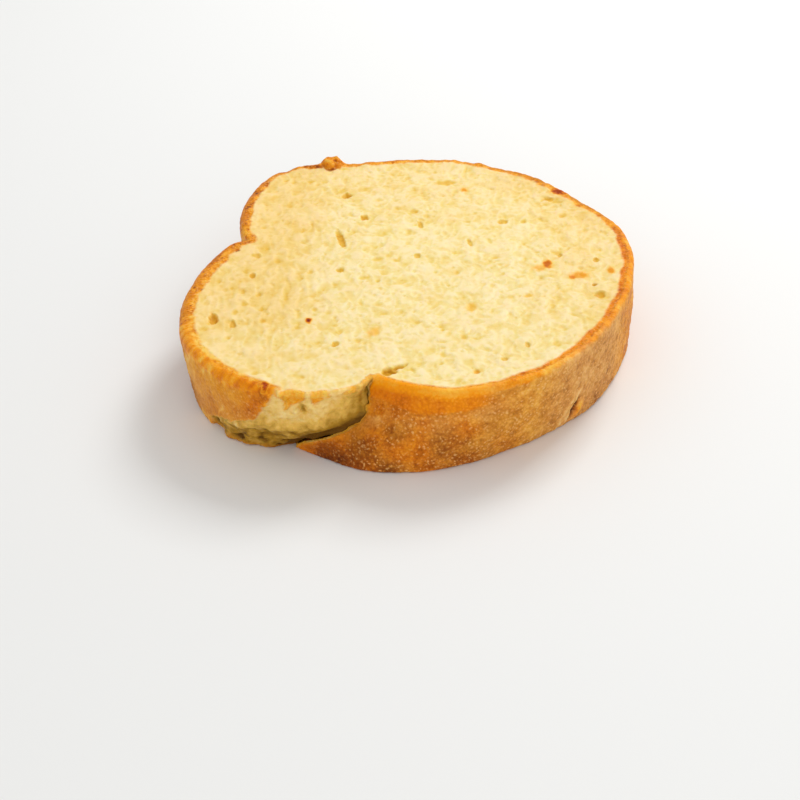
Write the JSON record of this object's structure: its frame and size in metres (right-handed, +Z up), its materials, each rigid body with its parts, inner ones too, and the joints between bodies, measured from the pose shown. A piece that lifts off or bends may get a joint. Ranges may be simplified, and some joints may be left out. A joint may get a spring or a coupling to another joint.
{
  "type": "slice of toast",
  "caption": "Thick slice of white bread, toasted and buttered: two-lobed outline with a crease and a notch, browned crust, one side burst with a flap of crust over torn crumb.",
  "frame": {"origin": "middle of the bounding box's bottom, on the surface that the slice lies on", "axes": "+Z up through the slice's thickness, +Y along its longest way, away from the burst side, which faces -Y"},
  "size_m": [0.1178, 0.128, 0.0241],
  "materials": {
    "toasted_bread": "buttered crumb with a dull browned crust"
  },
  "bodies": {
    "root": {"toast_slice": "toasted_bread"}
  },
  "joints": []
}
